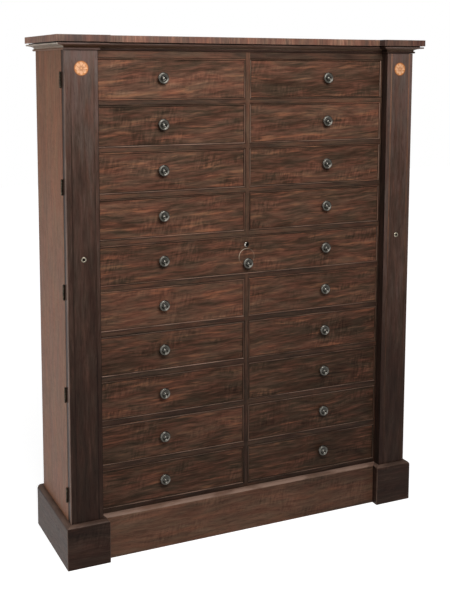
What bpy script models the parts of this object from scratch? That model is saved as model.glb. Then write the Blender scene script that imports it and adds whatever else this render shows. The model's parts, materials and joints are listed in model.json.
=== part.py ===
"""Double wellington chest: nineteen drawers between two hinged locking pilasters.

Metres, +Z up. The front faces -Y, and the origin lies on the floor in the middle of the chest.
"""

import math

import bmesh
import bpy
from mathutils import Vector

# Carcass
CARCASS_WIDTH = 1.128
CARCASS_DEPTH = 0.298
SIDE_THICKNESS = 0.022
BACK_THICKNESS = 0.010
BOTTOM_THICKNESS = 0.0115
REAR_OVERHANG = 0.016

# Drawer frame
DRAWER_ROWS = 10
WIDE_ROW = 5
OPENING_HEIGHT = 0.1192
RAIL_THICKNESS = 0.012
DIVIDER_THICKNESS = 0.012
FRIEZE_HEIGHT = 0.017

# Drawers
DRAWER_CLEARANCE = 0.0008
DRAWER_SEAT = 0.0004
DRAWER_HEADROOM = 0.0012
DRAWER_REAR_SPACE = 0.008
FRONT_THICKNESS = 0.020
LINING_THICKNESS = 0.010
BASE_THICKNESS = 0.006
BEAD_WIDTH = 0.0045
BEAD_RISE = 0.002

# Knobs
KNOB_DIAMETER = 0.033
KNOB_LENGTH = 0.0155
KNOB_EDGE = 0.0075
KNOB_DISH_DIAMETER = 0.019
KNOB_DISH_DEPTH = 0.004
KNOB_BUTTON_DIAMETER = 0.007
KNOB_BUTTON_RISE = 0.0025
KNOB_NECK_DIAMETER = 0.013
KNOB_ROSE_DIAMETER = 0.021
KNOB_ROSE_THICKNESS = 0.003
KNOB_PEG_DIAMETER = 0.008
KNOB_PEG_LENGTH = 0.012
KNOB_OUTSET = 0.033
KNOB_LIFT = 0.0036
CENTRE_KNOB_LIFT = 0.0346

# Pilasters and their hinges
PILASTER_WIDTH = 0.095
PILASTER_STAND = 0.030
PILASTER_CLEARANCE = 0.001
PILASTER_END_GAP = 0.0006
HINGE_LENGTH = 0.046
HINGE_INSET = 0.077
BARREL_DIAMETER = 0.006
LEAF_WIDTH = 0.018
LEAF_THICKNESS = 0.002

# Locks
LOCK_DROP = 0.028
LOCK_WIDTH = 0.044
LOCK_HEIGHT = 0.050
LOCK_DEPTH = 0.013
NOZZLE_DIAMETER = 0.017
NOZZLE_RISE = 0.0015
BOLT_WIDTH = 0.014
BOLT_THICKNESS = 0.006
BOLT_THROW = 0.006
BOLT_HEIGHT = 0.012
HOOK_REACH = 0.006
HOOK_THICKNESS = 0.004
HOOK_STEM = 0.006
KEEPER_LIP = 0.005
KEEPER_CLEARANCE = 0.0025

# Cornice and plinth
CORNICE_PROJECTION = 0.0275
CORNICE_HEIGHT = 0.026
TOP_THICKNESS = 0.017
COVE_REACH = 0.024
COVE_FOOT = 0.0065
CORNICE_BEAD_DIAMETER = 0.0055
CORNICE_FILLET = 0.0055
CORNICE_QUIRK = 0.003
PLINTH_HEIGHT = 0.1285
PLINTH_PROJECTION = 0.016
PLINTH_BREAK = 0.025
PLINTH_WALL = 0.046
PLINTH_ROUND = 0.012

# Fits and facets
GAP = 0.0003
CUT_MARGIN = 0.005
TURNED_STEPS = 12
COVE_STEPS = 5
ROUND_SEGMENTS = 3

# Places worked out from the sizes
half_width = CARCASS_WIDTH / 2
total_depth = CORNICE_PROJECTION + CARCASS_DEPTH + REAR_OVERHANG
pilaster_face = CORNICE_PROJECTION - total_depth / 2
carcass_front = pilaster_face + PILASTER_STAND
carcass_back = pilaster_face + CARCASS_DEPTH
rear = carcass_back + REAR_OVERHANG
frame_back = carcass_back - BACK_THICKNESS - GAP
frame_half = half_width - SIDE_THICKNESS - GAP

row_pitch = OPENING_HEIGHT + RAIL_THICKNESS
carcass_foot = PLINTH_HEIGHT + GAP
first_opening = PLINTH_HEIGHT + BOTTOM_THICKNESS
frieze_foot = first_opening + DRAWER_ROWS * row_pitch - RAIL_THICKNESS
cornice_foot = frieze_foot + FRIEZE_HEIGHT
top_foot = cornice_foot + CORNICE_HEIGHT
carcass_top = top_foot - GAP

pilaster_inner = half_width - PILASTER_WIDTH
opening_outer = pilaster_inner - PILASTER_CLEARANCE
opening_inner = DIVIDER_THICKNESS / 2
drawer_height = OPENING_HEIGHT - DRAWER_SEAT - DRAWER_HEADROOM
drawer_length = frame_back - DRAWER_REAR_SPACE - carcass_front
small_width = opening_outer - opening_inner - 2 * DRAWER_CLEARANCE
wide_width = 2 * (opening_outer - DRAWER_CLEARANCE)
small_centre = (opening_outer + opening_inner) / 2

hinge_gap = LEAF_THICKNESS + 2 * GAP
pilaster_back = carcass_front - hinge_gap
pilaster_foot = PLINTH_HEIGHT + PILASTER_END_GAP
pilaster_top = cornice_foot - PILASTER_END_GAP
barrel_radius = BARREL_DIAMETER / 2
axis_x = half_width + barrel_radius + GAP
axis_y = carcass_front - hinge_gap / 2
pilaster_middle = half_width - PILASTER_WIDTH / 2


def opening_foot(row):
    """Height of the floor of a row's opening, counting rows from the top."""
    return first_opening + (DRAWER_ROWS - row) * row_pitch


def drawer_middle(row):
    return opening_foot(row) + DRAWER_SEAT + drawer_height / 2


lock_height = drawer_middle(WIDE_ROW) + drawer_height / 2 - LOCK_DROP


def finish_mesh(bm, name):
    """Turns a bmesh into a mesh with its faces pointing out."""
    bmesh.ops.recalc_face_normals(bm, faces=bm.faces)
    mesh = bpy.data.meshes.new(name)
    bm.to_mesh(mesh)
    bm.free()
    return mesh


def add_prism(bm, outline, foot, head):
    """Adds an upright prism over a plan outline, and returns its top face."""
    base = bm.faces.new([bm.verts.new((x, y, foot)) for x, y in outline])
    made = bmesh.ops.extrude_face_region(bm, geom=[base])["geom"]
    bmesh.ops.translate(
        bm,
        verts=[part for part in made if isinstance(part, bmesh.types.BMVert)],
        vec=(0, 0, head - foot),
    )
    return next(part for part in made if isinstance(part, bmesh.types.BMFace))


def rectangle(low, high):
    return [(low[0], low[1]), (high[0], low[1]), (high[0], high[1]), (low[0], high[1])]


def boxes(name, corners):
    """One mesh of separate boxes, each given by its lowest and highest corner."""
    bm = bmesh.new()
    for low, high in corners:
        add_prism(bm, rectangle(low, high), low[2], high[2])
    return finish_mesh(bm, name)


def prism(name, outline, foot, head):
    bm = bmesh.new()
    add_prism(bm, outline, foot, head)
    return finish_mesh(bm, name)


def turned(name, profile):
    """A turned piece about Z, from (radius, height) points that start and end on the axis."""
    bm = bmesh.new()
    points = [bm.verts.new((radius, 0, height)) for radius, height in profile]
    edges = [bm.edges.new(pair) for pair in zip(points, points[1:])]
    bmesh.ops.spin(
        bm,
        geom=points + edges,
        axis=(0, 0, 1),
        cent=(0, 0, 0),
        angle=2 * math.pi,
        steps=TURNED_STEPS,
        use_merge=True,
    )
    bmesh.ops.remove_doubles(bm, verts=bm.verts, dist=1e-6)
    mesh = finish_mesh(bm, name)
    mesh.shade_smooth()
    mesh.set_sharp_from_angle(angle=math.radians(40))
    return mesh


def rod(name, radius, foot, head):
    return turned(name, [(0, foot), (radius, foot), (radius, head), (0, head)])


def facing_front(mesh):
    """Turns a mesh made about Z so that its +Z end points out of the front, along -Y."""
    for vertex in mesh.vertices:
        x, y, z = vertex.co
        vertex.co = Vector((x, -z, y))
    return mesh


def moved(mesh, offset):
    for vertex in mesh.vertices:
        vertex.co += Vector(offset)
    return mesh


def combined(name, base, steps):
    """The base mesh after Boolean steps, each an operation and the mesh that it uses."""
    body = bpy.data.objects.new(name, base)
    helpers = [body]
    bpy.context.scene.collection.objects.link(body)
    for operation, mesh in steps:
        helper = bpy.data.objects.new(f"{name}_helper", mesh)
        helper.hide_render = True
        helper.display_type = "WIRE"
        bpy.context.scene.collection.objects.link(helper)
        helpers.append(helper)
        boolean = body.modifiers.new(operation.lower(), "BOOLEAN")
        boolean.operation = operation
        boolean.solver = "EXACT"
        boolean.object = helper
    graph = bpy.context.evaluated_depsgraph_get()
    mesh = bpy.data.meshes.new_from_object(body.evaluated_get(graph))
    mesh.name = name
    for helper in helpers:
        bpy.data.objects.remove(helper)
    return mesh


def finish(name, colour, roughness, metallic=0.0):
    material = bpy.data.materials.new(name)
    material.use_nodes = True
    shader = material.node_tree.nodes["Principled BSDF"]
    shader.inputs["Base Color"].default_value = (*colour, 1.0)
    shader.inputs["Roughness"].default_value = roughness
    shader.inputs["Metallic"].default_value = metallic
    return material


def place(name, mesh, material, location=(0, 0, 0), parent=None):
    """Puts one piece of the chest in the scene, at a place given in its parent's frame."""
    piece = bpy.data.objects.new(name, mesh)
    piece.location = location
    piece.parent = parent
    bpy.context.scene.collection.objects.link(piece)
    mesh.materials.clear()
    mesh.materials.append(material)
    return piece


def mirrored_outline(points):
    """A plan outline made symmetrical by adding the mirror image of its left half."""
    return points + [(-x, y) for x, y in reversed(points)]


def broken_front(side_reach, front_reach, block_width, break_depth, back):
    """Left half of a plan outline whose front steps forward at the pilaster."""
    outer = -half_width - side_reach
    front = pilaster_face - front_reach
    return [
        (outer, back),
        (outer, front),
        (outer + block_width, front),
        (outer + block_width, front + break_depth),
    ]


def plinth_mesh():
    """Facing boards with blocks under the pilasters and a rounded top edge, glued to inner bearers."""
    block = PILASTER_WIDTH + 2 * PLINTH_PROJECTION
    outline = mirrored_outline(
        broken_front(PLINTH_PROJECTION, PLINTH_PROJECTION, block, PLINTH_BREAK, rear)
    )
    bm = bmesh.new()
    top = add_prism(bm, outline, 0, PLINTH_HEIGHT)
    rounded = [
        edge
        for edge in top.edges
        if any(vertex.co.y < rear - CUT_MARGIN for vertex in edge.verts)
    ]
    bmesh.ops.bevel(
        bm,
        geom=rounded,
        offset=min(PLINTH_ROUND, PLINTH_PROJECTION - GAP),
        segments=ROUND_SEGMENTS,
        profile=0.5,
        affect="EDGES",
    )
    front = pilaster_face - PLINTH_PROJECTION + PLINTH_BREAK
    side = half_width + PLINTH_PROJECTION - PLINTH_WALL
    hollow = boxes(
        "plinth_hollow",
        [
            (
                (-side, front + PLINTH_WALL, -CUT_MARGIN),
                (side, rear - PLINTH_WALL, PLINTH_HEIGHT + CUT_MARGIN),
            )
        ],
    )
    return combined("plinth", finish_mesh(bm, "plinth_block"), [("DIFFERENCE", hollow)])


def drawer_frame_mesh(name, foot, head, rows):
    """Posts, rails, dust boards and centre divider round some rows of drawers, glued into one frame."""
    block = boxes(name, [((-frame_half, carcass_front, foot), (frame_half, frame_back, head))])
    front, back = carcass_front - CUT_MARGIN, frame_back + CUT_MARGIN
    openings = []
    for row in rows:
        floor = opening_foot(row)
        ceiling = floor + OPENING_HEIGHT
        if row == WIDE_ROW:
            floor -= CUT_MARGIN
            openings.append(((-opening_outer, front, floor), (opening_outer, back, ceiling)))
            continue
        openings.append(((-opening_outer, front, floor), (-opening_inner, back, ceiling)))
        openings.append(((opening_inner, front, floor), (opening_outer, back, ceiling)))
    steps = [("DIFFERENCE", boxes("drawer_openings", openings))]
    if WIDE_ROW in rows:
        steps.append(("DIFFERENCE", rail_mortise()))
        for side in (-1, 1):
            steps.append(("DIFFERENCE", keeper_pocket(side)))
    return combined(name, block, steps)


def rail_mortise():
    """The slot in the rail over the wide drawer that the centre lock's bolt enters."""
    rail_foot = opening_foot(WIDE_ROW) + OPENING_HEIGHT
    bolt_front = carcass_front + centre_bolt_setback
    side_clear = BOLT_WIDTH / 2 + GAP
    return boxes(
        "rail_mortise",
        [
            (
                (-side_clear, bolt_front - GAP, rail_foot - CUT_MARGIN),
                (side_clear, bolt_front + BOLT_THICKNESS + GAP, rail_foot + BOLT_THROW),
            )
        ],
    )


def keeper_pocket(side):
    """The undercut mortise in a post that a pilaster's hook bolt enters."""
    middle = side * pilaster_middle
    near = -HOOK_STEM / 2 - KEEPER_CLEARANCE
    mouth = HOOK_STEM / 2 + HOOK_REACH + KEEPER_CLEARANCE
    under = mouth + BOLT_THROW
    lip = carcass_front + KEEPER_LIP
    floor = lip + HOOK_THICKNESS + 2 * KEEPER_CLEARANCE
    plan = [
        (near, carcass_front - CUT_MARGIN),
        (mouth, carcass_front - CUT_MARGIN),
        (mouth, lip),
        (under, lip),
        (under, floor),
        (near, floor),
    ]
    reach = BOLT_HEIGHT / 2 + KEEPER_CLEARANCE
    outline = [(middle + side * x, y) for x, y in plan]
    return prism("keeper_pocket", outline, lock_height - reach, lock_height + reach)


def drawer_mesh(name, width, knob_places, extra_cuts=()):
    """A dovetailed drawer about the middle of its front: beaded front, linings and base."""
    half, rise = width / 2, drawer_height / 2
    bm = bmesh.new()
    add_prism(bm, rectangle((-half, 0), (half, drawer_length)), -rise, rise)
    bm.faces.ensure_lookup_table()
    bmesh.ops.recalc_face_normals(bm, faces=bm.faces)
    front = min(bm.faces, key=lambda face: face.calc_center_median().y)
    bmesh.ops.inset_region(bm, faces=[front], thickness=BEAD_WIDTH, use_even_offset=True)
    sunk = bmesh.ops.extrude_face_region(bm, geom=[front])["geom"]
    bmesh.ops.delete(bm, geom=[front], context="FACES")
    bmesh.ops.translate(
        bm,
        verts=[part for part in sunk if isinstance(part, bmesh.types.BMVert)],
        vec=(0, BEAD_RISE, 0),
    )
    inside = boxes(
        "drawer_inside",
        [
            (
                (LINING_THICKNESS - half, FRONT_THICKNESS, BASE_THICKNESS - rise),
                (half - LINING_THICKNESS, drawer_length - LINING_THICKNESS, rise + CUT_MARGIN),
            )
        ],
    )
    steps = [("DIFFERENCE", inside)]
    for across, up in knob_places:
        hole = facing_front(
            rod("peg_hole", KNOB_PEG_DIAMETER / 2 + GAP, -KNOB_PEG_LENGTH - BEAD_RISE - GAP, CUT_MARGIN)
        )
        steps.append(("DIFFERENCE", moved(hole, (across, 0, up))))
    steps += [("DIFFERENCE", cutter) for cutter in extra_cuts]
    return combined(name, finish_mesh(bm, f"{name}_block"), steps)


def knob_mesh():
    """A turned knob: rounded rim, dished face with a button, neck, rose and a peg into the front."""
    head, neck = KNOB_DIAMETER / 2, KNOB_NECK_DIAMETER / 2
    rose, peg = KNOB_ROSE_DIAMETER / 2, KNOB_PEG_DIAMETER / 2
    dish, button = KNOB_DISH_DIAMETER / 2, KNOB_BUTTON_DIAMETER / 2
    floor = KNOB_LENGTH - KNOB_DISH_DEPTH
    crest = (head + dish) / 2
    round_off = (head - crest) / 3
    profile = [
        (0, floor + KNOB_BUTTON_RISE),
        (button, floor + KNOB_BUTTON_RISE / 2),
        (button, floor),
        (dish, floor + KNOB_DISH_DEPTH / 2),
        (crest, KNOB_LENGTH),
        (head - round_off, KNOB_LENGTH - KNOB_EDGE / 6),
        (head, KNOB_LENGTH - KNOB_EDGE / 2),
        (head - round_off, KNOB_LENGTH - KNOB_EDGE),
        (neck, KNOB_ROSE_THICKNESS + GAP),
        (rose, KNOB_ROSE_THICKNESS),
        (rose, GAP),
        (peg, GAP),
        (peg, -KNOB_PEG_LENGTH),
        (0, -KNOB_PEG_LENGTH),
    ]
    return facing_front(turned("knob", profile))


def pilaster_mesh(side):
    """A hinged pilaster about its hinge axis, with the lock's recess in its back."""
    outer, inner = half_width - axis_x, pilaster_inner - axis_x
    face, back = pilaster_face - axis_y, pilaster_back - axis_y
    low, high = sorted((side * outer, side * inner))
    board = boxes("pilaster_board", [((low, face, pilaster_foot), (high, back, pilaster_top))])
    middle = side * (pilaster_middle - axis_x)
    reach, rise = LOCK_WIDTH / 2 + GAP, LOCK_HEIGHT / 2 + GAP
    recess = boxes(
        "lock_recess",
        [
            (
                (middle - reach, back - LOCK_DEPTH - 2 * GAP, lock_height - rise),
                (middle + reach, back + CUT_MARGIN, lock_height + rise),
            )
        ],
    )
    hole = facing_front(rod("nozzle_hole", NOZZLE_DIAMETER / 2 + GAP, -(back - face), CUT_MARGIN))
    steps = [
        ("DIFFERENCE", recess),
        ("DIFFERENCE", moved(hole, (middle, face, lock_height))),
    ]
    return combined("pilaster", board, steps)


def pilaster_lock_mesh(side):
    """A brass-fronted cupboard lock: case in the pilaster's back, and a round nozzle through its face."""
    depth = pilaster_back - pilaster_face
    reach, rise = LOCK_WIDTH / 2, LOCK_HEIGHT / 2
    case = boxes("lock_case", [((-reach, depth - GAP - LOCK_DEPTH, -rise), (reach, depth - GAP, rise))])
    nozzle = facing_front(
        rod("lock_nozzle", NOZZLE_DIAMETER / 2, -(depth - GAP - LOCK_DEPTH / 2), NOZZLE_RISE)
    )
    near, far = sorted(
        (
            side * (-BOLT_WIDTH / 2 - GAP),
            side * (BOLT_WIDTH / 2 + BOLT_THROW + GAP),
        )
    )
    slot = boxes(
        "bolt_slot",
        [
            (
                (near, depth - GAP - BOLT_THICKNESS - GAP, -BOLT_HEIGHT / 2 - GAP),
                (far, depth + CUT_MARGIN, BOLT_HEIGHT / 2 + GAP),
            )
        ],
    )
    return combined("pilaster_lock", case, [("UNION", nozzle), ("DIFFERENCE", slot)])


def pilaster_bolt_mesh(side):
    """The hook bolt: a plate in the lock case, and a stem whose hook slides behind the keeper's lip."""
    depth = pilaster_back - pilaster_face
    plate_back = depth - GAP
    hook_front = PILASTER_STAND + KEEPER_LIP + KEEPER_CLEARANCE / 2
    hook_back = hook_front + HOOK_THICKNESS
    plate, stem = BOLT_WIDTH / 2, HOOK_STEM / 2
    plan = [
        (-plate, plate_back - BOLT_THICKNESS),
        (plate, plate_back - BOLT_THICKNESS),
        (plate, plate_back),
        (stem, plate_back),
        (stem, hook_front),
        (stem + HOOK_REACH, hook_front),
        (stem + HOOK_REACH, hook_back),
        (-stem, hook_back),
        (-stem, plate_back),
        (-plate, plate_back),
    ]
    outline = [(side * x, y) for x, y in plan]
    return prism("pilaster_bolt", outline, -BOLT_HEIGHT / 2, BOLT_HEIGHT / 2)


def hinge_mesh(side):
    """A butt hinge's fixed leaf on the side's front edge, with the barrel outside the corner."""
    half = HINGE_LENGTH / 2
    low, high = sorted((side * (half_width - LEAF_WIDTH - axis_x), 0.0))
    leaf = boxes("leaf", [((low, -LEAF_THICKNESS / 2, -half), (high, LEAF_THICKNESS / 2, half))])
    barrel = rod("barrel", barrel_radius, -half, half)
    return combined("hinge", leaf, [("UNION", barrel)])


def cornice_profile():
    """Section of the moulding as (projection, height): bead, cove, fillet and quirk."""
    bead = CORNICE_BEAD_DIAMETER / 2
    cove_foot = cornice_foot + CORNICE_BEAD_DIAMETER + GAP
    cove_head = top_foot - CORNICE_QUIRK - CORNICE_FILLET
    points = [(GAP, cornice_foot + GAP), (COVE_FOOT - bead, cornice_foot + GAP)]
    for step in range(1, COVE_STEPS):
        turn = math.pi * (step / COVE_STEPS - 0.5)
        points.append(
            (COVE_FOOT - bead + bead * math.cos(turn), cornice_foot + GAP + bead + bead * math.sin(turn))
        )
    for step in range(COVE_STEPS + 1):
        turn = math.pi / 2 * step / COVE_STEPS
        points.append(
            (
                COVE_REACH - (COVE_REACH - COVE_FOOT) * math.cos(turn),
                cove_foot + (cove_head - cove_foot) * math.sin(turn),
            )
        )
    points += [
        (COVE_REACH, top_foot - CORNICE_QUIRK),
        (COVE_FOOT, top_foot - CORNICE_QUIRK),
        (COVE_FOOT, top_foot - GAP),
        (GAP, top_foot - GAP),
    ]
    return points


def cornice_mesh():
    """The moulding mitred round both sides and the stepped front, with caps over the pilasters."""
    path = mirrored_outline(
        [
            (-half_width, carcass_back),
            (-half_width, pilaster_face),
            (-pilaster_inner, pilaster_face),
            (-pilaster_inner, carcass_front),
        ]
    )
    corners = [Vector(point) for point in path]
    outward = []
    for start, end in zip(corners, corners[1:]):
        along = (end - start).normalized()
        outward.append(Vector((-along.y, along.x)) * -1)
    shifts = [outward[0]]
    for first, second in zip(outward, outward[1:]):
        shifts.append(first + second)
    shifts.append(outward[-1])
    profile = cornice_profile()
    bm = bmesh.new()
    rings = []
    for corner, shift in zip(corners, shifts):
        ring = []
        for reach, height in profile:
            spot = corner + shift * reach
            ring.append(bm.verts.new((spot.x, spot.y, height)))
        rings.append(ring)
    count = len(profile)
    for first, second in zip(rings, rings[1:]):
        for index in range(count):
            after = (index + 1) % count
            bm.faces.new((first[index], first[after], second[after], second[index]))
    bm.faces.new(rings[0])
    bm.faces.new(rings[-1])
    cap_low = pilaster_inner - CORNICE_QUIRK / 2
    cap_high = half_width + CORNICE_QUIRK / 2
    cap_front = pilaster_face - CORNICE_QUIRK / 2
    cap_foot = cornice_foot + 2 * GAP
    caps = boxes(
        "pilaster_caps",
        [
            ((low, cap_front, cap_foot), (high, carcass_front - GAP, top_foot - 2 * GAP))
            for low, high in ((-cap_high, -cap_low), (cap_low, cap_high))
        ],
    )
    return combined("cornice_moulding", finish_mesh(bm, "moulding_strip"), [("UNION", caps)])


def centre_lock_cut():
    """Room in the wide drawer's front for its lock: a recess open at the top edge, and the nozzle's hole."""
    rise = drawer_height / 2
    nozzle_up = rise - LOCK_DROP
    reach = LOCK_WIDTH / 2 + GAP
    recess = boxes(
        "drawer_lock_recess",
        [
            (
                (-reach, FRONT_THICKNESS - LOCK_DEPTH - GAP, nozzle_up - LOCK_HEIGHT / 2 - GAP),
                (reach, FRONT_THICKNESS + CUT_MARGIN, rise + CUT_MARGIN),
            )
        ],
    )
    hole = facing_front(rod("drawer_nozzle_hole", NOZZLE_DIAMETER / 2 + GAP, -FRONT_THICKNESS, CUT_MARGIN))
    return [recess, moved(hole, (0, 0, nozzle_up))]


def centre_lock_mesh():
    """The wide drawer's lock about its nozzle: case, nozzle, and a slot that the bolt rises in."""
    reach = LOCK_WIDTH / 2
    case_back = FRONT_THICKNESS - GAP
    case_front = case_back - LOCK_DEPTH + GAP
    case = boxes("drawer_lock_case", [((-reach, case_front, -LOCK_HEIGHT / 2), (reach, case_back, LOCK_DROP))])
    nozzle = facing_front(
        rod("drawer_lock_nozzle", NOZZLE_DIAMETER / 2, -(case_front + LOCK_DEPTH / 4), NOZZLE_RISE - BEAD_RISE)
    )
    slot = boxes(
        "drawer_bolt_slot",
        [
            (
                (-BOLT_WIDTH / 2 - GAP, centre_bolt_setback - GAP, -GAP),
                (BOLT_WIDTH / 2 + GAP, case_back + CUT_MARGIN, LOCK_DROP + CUT_MARGIN),
            )
        ],
    )
    return combined("centre_lock", case, [("UNION", nozzle), ("DIFFERENCE", slot)])


centre_bolt_setback = FRONT_THICKNESS - LOCK_DEPTH / 2

# Clear the scene
for old in list(bpy.data.objects):
    bpy.data.objects.remove(old)

# Finishes
polished_mahogany = finish("polished_mahogany", (0.115, 0.047, 0.028), 0.32)
figured_mahogany = finish("figured_mahogany", (0.135, 0.050, 0.026), 0.28)
dark_mahogany = finish("dark_mahogany", (0.075, 0.038, 0.026), 0.36)
pine = finish("pine", (0.42, 0.27, 0.14), 0.65)
ebonised_wood = finish("ebonised_wood", (0.045, 0.043, 0.038), 0.30)
aged_brass = finish("aged_brass", (0.42, 0.33, 0.20), 0.40, 1.0)
steel = finish("steel", (0.35, 0.34, 0.33), 0.40, 1.0)

chest = bpy.data.objects.new("chest", None)
bpy.context.scene.collection.objects.link(chest)

# Plinth and carcass
place("plinth", plinth_mesh(), dark_mahogany, parent=chest)
for side, word in ((-1, "left"), (1, "right")):
    near, far = sorted((side * (half_width - SIDE_THICKNESS), side * half_width))
    place(
        f"side_panel_{word}",
        boxes(
            f"side_panel_{word}",
            [((near, carcass_front, carcass_foot), (far, carcass_back, carcass_top))],
        ),
        polished_mahogany,
        parent=chest,
    )
place(
    "back_panel",
    boxes(
        "back_panel",
        [((-frame_half, frame_back + GAP, carcass_foot), (frame_half, carcass_back, carcass_top))],
    ),
    pine,
    parent=chest,
)
lower_rows = range(WIDE_ROW + 1, DRAWER_ROWS + 1)
upper_rows = range(1, WIDE_ROW + 1)
wide_floor = opening_foot(WIDE_ROW)
place(
    "drawer_frame_lower",
    drawer_frame_mesh("drawer_frame_lower", carcass_foot, wide_floor, lower_rows),
    dark_mahogany,
    parent=chest,
)
place(
    "drawer_frame_upper",
    drawer_frame_mesh("drawer_frame_upper", wide_floor + GAP, carcass_top, upper_rows),
    dark_mahogany,
    parent=chest,
)

# Cornice and top
place("cornice_moulding", cornice_mesh(), dark_mahogany, parent=chest)
top_block = PILASTER_WIDTH + 2 * CORNICE_PROJECTION
top_outline = mirrored_outline(
    broken_front(CORNICE_PROJECTION, CORNICE_PROJECTION, top_block, PILASTER_STAND, rear)
)
place(
    "top_board",
    prism("top_board", top_outline, top_foot, top_foot + TOP_THICKNESS),
    polished_mahogany,
    parent=chest,
)

# Drawers and knobs
knob = knob_mesh()
sides = {"left": -1, "right": 1}
small_drawers = {
    word: drawer_mesh(f"drawer_{word}", small_width, [(side * KNOB_OUTSET, KNOB_LIFT)])
    for word, side in sides.items()
}
for row in range(1, DRAWER_ROWS + 1):
    if row == WIDE_ROW:
        continue
    for word, side in sides.items():
        drawer = place(
            f"drawer_{word}_{row:02d}",
            small_drawers[word],
            figured_mahogany,
            (side * small_centre, carcass_front, drawer_middle(row)),
            chest,
        )
        place(
            f"knob_{word}_{row:02d}",
            knob,
            ebonised_wood,
            (side * KNOB_OUTSET, BEAD_RISE, KNOB_LIFT),
            drawer,
        )

wide_knobs = {
    "left": (-small_centre - KNOB_OUTSET, KNOB_LIFT),
    "right": (small_centre + KNOB_OUTSET, KNOB_LIFT),
    "centre": (0, CENTRE_KNOB_LIFT - drawer_height / 2),
}
wide_drawer = place(
    "drawer_wide",
    drawer_mesh("drawer_wide", wide_width, wide_knobs.values(), centre_lock_cut()),
    figured_mahogany,
    (0, carcass_front, drawer_middle(WIDE_ROW)),
    chest,
)
for word, (across, up) in wide_knobs.items():
    place(f"knob_wide_{word}", knob, ebonised_wood, (across, BEAD_RISE, up), wide_drawer)
centre_lock = place(
    "lock_centre",
    centre_lock_mesh(),
    aged_brass,
    (0, 0, drawer_height / 2 - LOCK_DROP),
    wide_drawer,
)
place(
    "bolt_centre",
    boxes(
        "bolt_centre",
        [
            (
                (-BOLT_WIDTH / 2, centre_bolt_setback, 0),
                (BOLT_WIDTH / 2, centre_bolt_setback + BOLT_THICKNESS, LOCK_DROP),
            )
        ],
    ),
    steel,
    parent=centre_lock,
)

# Pilasters, hinges and locks
for word, side in sides.items():
    pilaster = place(
        f"pilaster_{word}",
        pilaster_mesh(side),
        dark_mahogany,
        (side * axis_x, axis_y, 0),
        chest,
    )
    lock = place(
        f"lock_{word}",
        pilaster_lock_mesh(side),
        aged_brass,
        (side * (pilaster_middle - axis_x), pilaster_face - axis_y, lock_height),
        pilaster,
    )
    place(f"bolt_{word}", pilaster_bolt_mesh(side), steel, parent=lock)
    hinge = hinge_mesh(side)
    hinge_heights = {"lower": pilaster_foot + HINGE_INSET, "upper": pilaster_top - HINGE_INSET}
    for end, height in hinge_heights.items():
        place(f"hinge_{word}_{end}", hinge, aged_brass, (side * axis_x, axis_y, height), chest)
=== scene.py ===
import json
import math
import random

import bmesh
import bpy
from mathutils import Matrix, Vector

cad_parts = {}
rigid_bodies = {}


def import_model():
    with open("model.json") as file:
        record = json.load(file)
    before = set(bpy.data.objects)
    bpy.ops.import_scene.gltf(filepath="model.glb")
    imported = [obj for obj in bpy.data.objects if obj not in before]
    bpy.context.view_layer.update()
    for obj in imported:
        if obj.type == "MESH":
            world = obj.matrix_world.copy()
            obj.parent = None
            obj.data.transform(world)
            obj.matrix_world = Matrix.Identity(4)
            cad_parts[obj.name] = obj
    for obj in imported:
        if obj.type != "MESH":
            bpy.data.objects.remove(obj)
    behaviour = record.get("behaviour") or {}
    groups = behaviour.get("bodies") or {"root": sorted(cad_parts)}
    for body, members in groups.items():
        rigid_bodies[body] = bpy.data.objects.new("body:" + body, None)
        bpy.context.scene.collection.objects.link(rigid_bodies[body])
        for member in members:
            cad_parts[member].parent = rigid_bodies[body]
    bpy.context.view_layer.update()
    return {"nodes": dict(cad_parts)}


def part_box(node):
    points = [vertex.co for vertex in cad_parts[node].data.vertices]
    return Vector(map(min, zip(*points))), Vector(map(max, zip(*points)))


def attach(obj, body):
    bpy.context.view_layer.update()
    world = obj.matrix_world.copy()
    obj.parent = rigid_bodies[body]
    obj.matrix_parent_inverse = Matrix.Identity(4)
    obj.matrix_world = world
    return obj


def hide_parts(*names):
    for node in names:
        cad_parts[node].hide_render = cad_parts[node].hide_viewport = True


for leftover in list(bpy.data.objects):
    bpy.data.objects.remove(leftover)
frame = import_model()

# Plinth
# Mahogany facing boards stand round the foot, mitred at the corners and brought forward as blocks
# under the pilasters. Their top edge is rounded over, and the back is a plain pine board.


class Joinery:
    """The boards of one piece, gathered with each one's grain, paleness, and wear with painted sheen."""

    def __init__(self):
        self.points = []
        self.faces = []
        self.grain = []
        self.tint = []
        self.finish = []

    def add(self, shape, along, shift=(0, 0, 0), pale=0.5, figure=0.0, wear_and_sheen=0.0, turn=0, finish=0, paler_head=0.0):
        """Adds a shape of points, plain faces and eased edge faces; paler_head is how much paler its head
        is.
        """
        points, plain, eased = shape
        foot = min(point[2] for point in points)
        tall = max(point[2] for point in points) - foot
        paleness = [pale + paler_head * ((point[2] - foot) / tall - 0.5) for point in points]
        order = {"x": (0, 2, 1), "y": (1, 2, 0), "z": (2, 0, 1)}[along]
        lie, slope = math.cos(turn), math.sin(turn)
        grain = []
        for point in points:
            run, across, depth = (point[axis] for axis in order)
            level = run * lie + across * slope
            upward = across * lie - run * slope
            grain.append((level + shift[0], upward + shift[1], depth + shift[2]))
        first = len(self.points)
        self.points += [tuple(point) for point in points]
        for faces, wear_sheen_share in ((plain, 0.0), (eased, wear_and_sheen)):
            for face in faces:
                self.faces.append([first + corner for corner in face])
                self.grain += [grain[corner] for corner in face]
                self.tint += [(paleness[corner], figure, wear_sheen_share) for corner in face]
                self.finish.append(finish)


def put_in_scene(name, data):
    made = bpy.data.objects.new(name, data)
    bpy.context.scene.collection.objects.link(made)
    return made


def face_outward(mesh):
    """Turns every face of a closed mesh outward."""
    bm = bmesh.new()
    bm.from_mesh(mesh)
    bmesh.ops.recalc_face_normals(bm, faces=bm.faces)
    bm.to_mesh(mesh)
    bm.free()


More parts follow.
